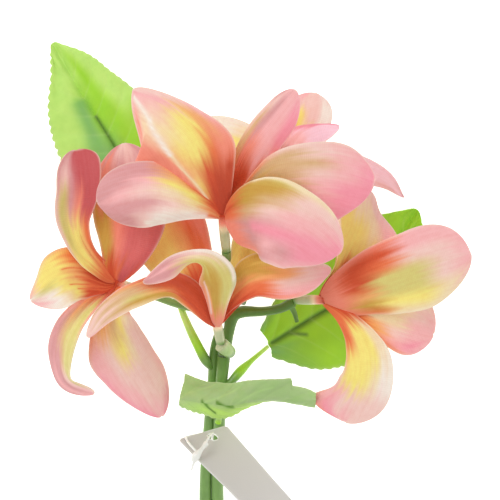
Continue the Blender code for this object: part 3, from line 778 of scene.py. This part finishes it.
for blossomName, blossom in blossoms.items():
    throat, back = np.array(blossom["throat"], float), np.array(blossom["tube"], float)
    inNeck = throat + back * blossom.get("neckShare", petalBuild["neckShare"]) * tubeBuild["mouth"]
    route = np.linspace(throat + back, inNeck, len(tubeBuild["flare"]))
    tube = makeStrand(blossomName + "_tube", route, tubeBuild["flare"], tubeBuild["dye"],
                      tubeBuild["rings"], tubeBuild["around"])
    finishPiece(tube, materials["tube"], "throat_plastic", blossomName + "_throat")

stems = {
    "main_stem": {
        "route": [(-13, -165, 3.2), (-13, -130, 13.5), (-13.4, -96, 25), (-12.6, -72, 33),
                  (-11.8, -56, 38), (-10.6, -43, 42)],
        "radii": (2.65, 2.65, 2.5, 2.4, 2.4, 2.6), "dye": "vvvvvf"},
    "side_stem": {
        "route": [(-18.2, -161, 4), (-18.2, -130, 13.5), (-18.3, -96, 24), (-16.8, -72, 30.5),
                  (-15.4, -56, 34.3), (-14.4, -41, 38.5), (-12, -32, 42)],
        "radii": (2.6, 2.6, 2.45, 2.2, 2.1, 2.0, 1.9), "dye": "vvvvvff"},
    "right_stalk": {
        "route": [(-10.3, -42.4, 42.3), (-8.8, -34, 44.6), (-7, -27, 46), (-3, -25, 47),
                  (5, -24.8, 48), (12, -23.6, 50), (17.4, -21, 52)],
        "radii": (2.4, 2.2, 2.6, 2.4, 1.9, 1.9, 2.1), "dye": "fffffff"},
    "left_stalk": {
        "route": [(-11.6, -28.4, 44), (-18, -25, 43), (-30, -21.8, 41.6), (-38, -19, 40.6),
                  (-42.4, -17.2, 41.4), (-44.6, -16.2, 43.3)],
        "radii": (1.9, 1.7, 1.6, 1.6, 1.7, 1.9), "dye": "fvvvvv"},
    "centre_stalk": {
        "route": [(-7.4, -21.6, 48.4), (-8.4, -14, 52), (-9.2, -6, 57), (-9.5, -0.6, 61.4)],
        "radii": (1.9, 1.6, 1.6, 1.9), "dye": "fvvv"},
    "back_stalk": {
        "route": [(-3.6, -21.4, 44.6), (2, -8, 39), (8, 9, 32), (12.6, 23.2, 27.8)],
        "radii": (1.9, 1.6, 1.6, 1.9), "dye": "fvvv"},
    "low_socket": {
        "route": [(-11.6, -38, 53.4), (-9.4, -40, 51.6), (-8.4, -41, 49.4), (-8.6, -41.4, 46.6)],
        "radii": (3.0, 2.8, 2.6, 2.4), "dye": "teevvv", "material": "tube"},
    "upper_leaf_stalk": {
        "route": [(-15.8, -48, 37.5), (-18.2, -44.6, 39.5), (-21, -39.2, 41.6), (-25, -31, 41),
                  (-28.6, -22, 38), (-34, -4, 34.6), (-44, 20, 31)],
        "radii": (1.3, 2.0, 1.9, 1.6, 1.3, 1.0, 0.8), "dye": "fvnllnn", "material": "sheath"},
    "right_leaf_stalk": {
        "route": [(-10.8, -57, 39), (-7, -52.8, 39.4), (-3.6, -49, 38.4), (0.8, -45, 34),
                  (7.2, -39.8, 25.4)],
        "radii": (1.2, 1.7, 1.9, 1.1, 0.8), "dye": "vvnnl", "material": "sheath"},
    "right_peg": {
        "route": [(16.4, -22.4, 50.4), (18, -25.6, 49.6), (19, -29, 48.6)],
        "radii": (1.3, 1.0, 0.8), "dye": "vff"},
    "low_leaf_stalk": {
        "route": [(-13, -70.3, 37.8), (-12.4, -67.6, 39.6), (-12, -65.6, 42)],
        "radii": (1.3, 1.1, 1.0), "dye": "nee", "material": "sheath"},
}
slots = {"stem": "stem_plastic", "tube": "throat_plastic", "sheath": "leaf_stalk_plastic"}

for stemName, stem in stems.items():
    rod = makeStrand(stemName + "_rod", stem["route"], stem["radii"], stem["dye"])
    nodes = [stemName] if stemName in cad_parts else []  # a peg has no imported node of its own
    plastic = stem.get("material", "stem")
    finishPiece(rod, materials[plastic], slots[plastic], *nodes)
print("tubes and stems made")


leafBuild = {"columns": 48, "rows": 150, "thickness": 0.45, "strokeLength": 100,
             "tipEnd": 0.985, "rowShift": 0.1, "roundTip": 0.015, "tearRun": 0.015,
             "veins": 8, "veinLean": 0.2, "veinWidth": 0.16, "puff": 0.55, "puffStart": 3, "flatRim": 0.15,
             "midrib": 0.9, "midribWidth": 1.1, "teeth": 24, "plainTip": 0.06,
             "crumple": (1.0, 2.2, 5.0), "crumpleStart": 4, "driftAcross": (0.08, 3.0, 4.0),
             "driftAlong": (0.05, 4.0, 6.0), "rim": 0.05}
leaves = {
    "leaf_upper": {
        "spine": [(-45, 22, 30), (-56, 43, 24), (-70, 65, 12), (-83, 87, 0.9)],
        "left": (9, 19, 22, 20.5, 15.5, 7, 0.6), "right": (9, 17, 19, 19.5, 15.5, 10.5, 0.6),
        "roll": (0, 0), "fold": 8, "lobes": (0.1, 0.1), "toothDepth": (1.0, 0.4),
        "paint": ("nliinnn", "lliinnn", "lllnnll", "llllnll", "lllllll"),
        # Both strokes are painted shade of the midrib crease: a cool green band left of the midrib and a dark
        # fork green line along it.
        "strokes": [("i", (-0.35, 0.1), (-0.16, 0.6), 3.2), ("f", (0.02, 0.0), (0.0, 0.5), 0.8)]},
    "leaf_right": {
        "spine": [(8, -39, 24), (28, -27, 13), (50, -14, 3.6), (70, 17, 2.2)],
        "left": (8, 18, 21, 21, 22, 17, 0.8), "right": (5, 19, 25, 26, 23, 15, 0.8),
        "roll": (15, 15, 10, 5), "fold": 6, "lobes": (0.02, 0.02), "toothDepth": (0.4, 0.7),
        "paint": ("innniii", "nnnnnnn", "nnnnnnn", "nnnnnnn", "nnnnnnn"),
        # Both strokes are painted shade: dark fork green in the midrib crease and in one side vein's groove.
        "strokes": [("f", (0.0, 0.02), (0.0, 0.6), 1.3), ("f", (0.05, 0.12), (0.22, 0.19), 0.8)]},
    "leaf_low": {
        "spine": [(-28.8, -60.4, 44), (-10, -63, 50), (7, -61, 55), (26, -64, 55)],
        "left": (13, 11.4, 10.2, 10, 9.4, 9.2, 9.6, 10.6, 12.4, 14.6, 15.4, 14),
        "right": (3, 5, 6.6, 9.4, 9.4, 7.4, 6.4, 6, 6, 6, 8, 10),
        "roll": (0, 20, 70, 85), "fold": -38, "lobes": (0.03, 0), "toothDepth": (0.1, 0.9),
        "tear": (0.795, 0.3),
        "paint": ("eueueee", "uuuulll", "euuulll", "uuuueee", "eeueeee"),
        # The pale green strokes are veins; the two dark fork green strokes are painted shadow in the slits and
        # creases.
        "strokes": [("e", (-0.05, 0.0), (-0.9, 0.25), 0.5), ("e", (0.0, 0.15), (-0.8, 0.5), 0.4),
                    ("e", (0.0, 0.4), (-0.7, 0.7), 0.4), ("f", (-0.1, 0.17), (0.5, 0.26), 0.8),
                    ("f", (-0.15, 0.28), (0.15, 0.4), 0.8)]},
}


def bySide(u, pair):  # a leaf's left and right halves have their own values
    return np.where(u < 0, pair[0], pair[1])


def leafEdge(shape, u, v):
    width = halfWidths(shape, u, v)
    if "tear" in shape:  # the left half ends early, at a torn corner
        place, depth = shape["tear"]
        torn = depth * np.clip((v - place) / leafBuild["tearRun"], 0, 1)
        width = width * np.where(u < 0, 1 - torn, 1)
    tooth = (np.abs(np.sin(math.pi * v * leafBuild["teeth"])) - 0.5) * np.abs(u) ** 10
    return width + tooth * np.clip((1 - v) / leafBuild["plainTip"], 0, 1) * bySide(u, shape["toothDepth"])


def makeLeaf(name, shape, seed):
    piece, u, row = newGrid(name, leafBuild["columns"], leafBuild["rows"])
    v = leafBuild["tipEnd"] * (row + leafBuild["rowShift"] * np.sin(math.pi * row))
    width = leafEdge(shape, u, v)
    lobes = bySide(u, shape["lobes"]) * u * u * (1 - row) ** 3
    points = sheetPoints(shape, u, v, width, v + leafBuild["roundTip"] * (1 - u * u) * row ** 4 - lobes)
    off = np.abs(u) * width
    reach = (v - leafBuild["veinLean"] * np.abs(u) ** 1.2) * leafBuild["veins"]
    between = np.abs(np.sin(math.pi * reach))
    inward = np.clip(off / leafBuild["puffStart"], 0, 1)
    inward = inward * np.clip((1 - np.abs(u)) / leafBuild["flatRim"], 0, 1)
    quilt = between ** 0.8 * leafBuild["puff"] * inward
    rib = np.exp(-(off / leafBuild["midribWidth"]) ** 2) * leafBuild["midrib"]
    crumple = noiseOver(u, v, *leafBuild["crumple"], seed) * np.clip(off / leafBuild["crumpleStart"], 0, 1)
    setShape(piece, points + gridNormals(points) * (quilt - rib + crumple)[..., None])
    driftU = u + noiseOver(u, v, *leafBuild["driftAcross"], seed + 9)
    driftV = v + noiseOver(u, v, *leafBuild["driftAlong"], seed + 15)
    painted = paintStrokes(readPaint(shape["paint"], driftU, driftV), shape, u, v, halfWidths,
                           leafBuild["strokeLength"])
    writeTint(piece.data, painted)
    vein = np.exp(-(between / leafBuild["veinWidth"]) ** 2) * np.clip(1.2 - np.abs(u), 0, 1)
    writeMask(piece.data, "vein", vein)
    writeMask(piece.data, "rim", np.clip((np.abs(u) - 1) / leafBuild["rim"] + 1, 0, 1))
    thicken(piece, leafBuild["thickness"])
    return piece


for number, (leafName, shape) in enumerate(leaves.items()):
    leaf = makeLeaf(leafName + "_cloth", shape, number * 4.7 + 2)  # each leaf crumples its own way
    finishPiece(leaf, materials["leaf"], "leaf_cloth", leafName)
print("leaves made")


tag = {"spine": [(-19.3, -74, 43), (-11.3, -82.2, 50.5), (-3.3, -90.2, 56.5), (4.5, -98.2, 61),
                 (12, -106, 64)],
       "halfWidth": 12.5, "roll": (-47, -49, -52, -54, -55), "thickness": 0.4, "columns": 30, "rows": 70,
       "corner": 1.5, "wornRim": 0.5, "holeRadius": 2.1, "holeRow": 0.08, "holeSide": -0.2,
       "punchFaces": 40, "punchDepth": 8}


def makeCard(name):
    card, u, v = newGrid(name, tag["columns"], tag["rows"])
    fromEnd = np.minimum(v, 1 - v) * traceSpine(tag["spine"])["length"]
    inCorner = np.clip(1 - fromEnd / tag["corner"], 0, 1)
    width = tag["halfWidth"] - tag["corner"] * (1 - np.sqrt(1 - inCorner ** 2))
    setShape(card, sheetPoints(tag, u, v, width, v))
    writeTint(card.data, readPaint(["qqq", "qqq"], u, v))
    ends = np.exp(-(fromEnd / tag["wornRim"]) ** 2)
    writeMask(card.data, "rim", np.maximum(np.abs(u) ** 30, ends))
    thicken(card, tag["thickness"])
    return card


def punchHole(card):
    # Three spots: the hole's middle, one further along the card and one further across it.
    across = np.array([0, 0, 0.1]) + tag["holeSide"]
    along = np.array([0, 0.02, 0]) + tag["holeRow"]
    spots = sheetPoints(tag, across, along, np.full(3, tag["halfWidth"]), along)
    through = Vector(np.cross(spots[2] - spots[0], spots[1] - spots[0])).normalized()
    bpy.ops.object.select_all(action="DESELECT")
    bpy.ops.mesh.primitive_cylinder_add(vertices=tag["punchFaces"], radius=tag["holeRadius"] * mm,
                                        depth=tag["punchDepth"] * mm, location=(spots[0] + sprayShift) * mm,
                                        rotation=through.to_track_quat("Z", "Y").to_euler())
    punch = bpy.context.object
    bpy.ops.object.select_all(action="DESELECT")
    card.select_set(True)
    bpy.context.view_layer.objects.active = card
    bpy.ops.object.modifier_add(type="BOOLEAN")
    hole = card.modifiers[-1]
    hole.operation = "DIFFERENCE"
    hole.solver = "EXACT"
    hole.object = punch
    bpy.ops.object.modifier_apply(modifier=hole.name)
    bpy.data.objects.remove(punch, do_unlink=True)


card = makeCard("hang_tag_card")
punchHole(card)
finishPiece(card, materials["card"], "tag_card", "hang_tag")

# The loop goes through the card's hole, behind the card and round both stems.
loop = {
    "cord": {
        "route": [(-20.6, -81.4, 60), (-18.4, -78.4, 56.5), (-16.2, -75, 51), (-15, -74.2, 46.6),
                  (-15.4, -77, 43.9), (-14, -77.6, 40), (-10.6, -76.4, 37), (-8.2, -75.4, 31.4),
                  (-12, -75, 26), (-18.5, -75.4, 25.4), (-23.6, -76, 31), (-26.2, -76.2, 40),
                  (-26, -75.8, 49), (-24.2, -77.8, 57)],
        "radii": (0.5, 0.5), "rings": 120, "around": 3, "cyclic": True},
    "clasp": {
        "route": [(-17.6, -77.6, 57.2), (-19.4, -79.8, 59.6), (-21.4, -82.2, 60.6), (-22.4, -84.6, 60.4)],
        "radii": (1.1, 0.8, 1.7, 1.1), "rings": 24, "around": 5},
    "tail": {
        "route": [(-22, -84, 60.5), (-22.8, -86, 59.6), (-23.4, -88.2, 58)],
        "radii": (0.8, 0.5, 0.4), "rings": 16, "around": 3},
}

for partName, part in loop.items():
    strand = makeStrand("tag_loop_" + partName, dye="zz", **part)
    nodes = ["tag_loop"] if partName == "cord" else []
    finishPiece(strand, materials["loop"], "loop_plastic", *nodes)
print("tag and loop made")


studio = {"floorSize": 6.0, "floorDrop": 0.5, "floorGlow": 0.75, "grainScale": 400.0, "roomGlow": 0.66,
          "floorPaint": ((0.93, 0.93, 0.93, 1), (0.96, 0.96, 0.955, 1)),
          "lamps": {"keyLamp": {"place": (-0.55, 0.45, 1.1), "size": 0.7, "power": 6.0},
                    "fillLamp": {"place": (0.7, -0.3, 0.9), "size": 0.9, "power": 2.4}},
          "cameraHeight": 1300, "pictureWidth": 200, "pictureHeight": 60, "sensor": 36}

bpy.ops.object.select_all(action="DESELECT")
bpy.ops.mesh.primitive_plane_add(size=studio["floorSize"], location=(0, 0, -studio["floorDrop"] * mm))
floor = bpy.context.object
floor.name = "studio_floor"
material, tree, shader = startMaterial("floorPaint", Emission_Color=(1, 1, 1, 1),
                                       Emission_Strength=studio["floorGlow"], Roughness=0.8)
grain = addNoise(tree, readPlace(tree, "Object"), studio["grainScale"], 2.0)
tree.links.new(mixColour(tree, grain, *studio["floorPaint"]), shader["Base Color"])
floor.data.materials.append(material)

world = bpy.data.worlds.new("softRoom")
world.use_nodes = True
world.node_tree.nodes["Background"].inputs["Color"].default_value = (1, 1, 1, 1)
world.node_tree.nodes["Background"].inputs["Strength"].default_value = studio["roomGlow"]
bpy.context.scene.world = world
bpy.context.scene.view_settings.view_transform = "Standard"

for lampName, look in studio["lamps"].items():
    bpy.ops.object.light_add(type="AREA", location=look["place"])
    lamp = bpy.context.object
    lamp.name = lampName
    lamp.data.size = look["size"]
    lamp.data.energy = look["power"]
    lamp.rotation_euler = (-Vector(look["place"])).to_track_quat("-Z", "Y").to_euler()

# The camera looks straight down on the tables' origin.
eye = (sprayShift + np.array([0, 0, studio["cameraHeight"]])) * mm
bpy.ops.object.camera_add(location=eye, rotation=(0, 0, 0))
camera = bpy.context.object
camera.name = "studioCamera"
camera.data.sensor_width = studio["sensor"]
toPicture = studio["cameraHeight"] - studio["pictureHeight"]
camera.data.lens = studio["sensor"] * toPicture / studio["pictureWidth"]
camera.data.clip_end = 10
bpy.context.scene.camera = camera
print("studio made")
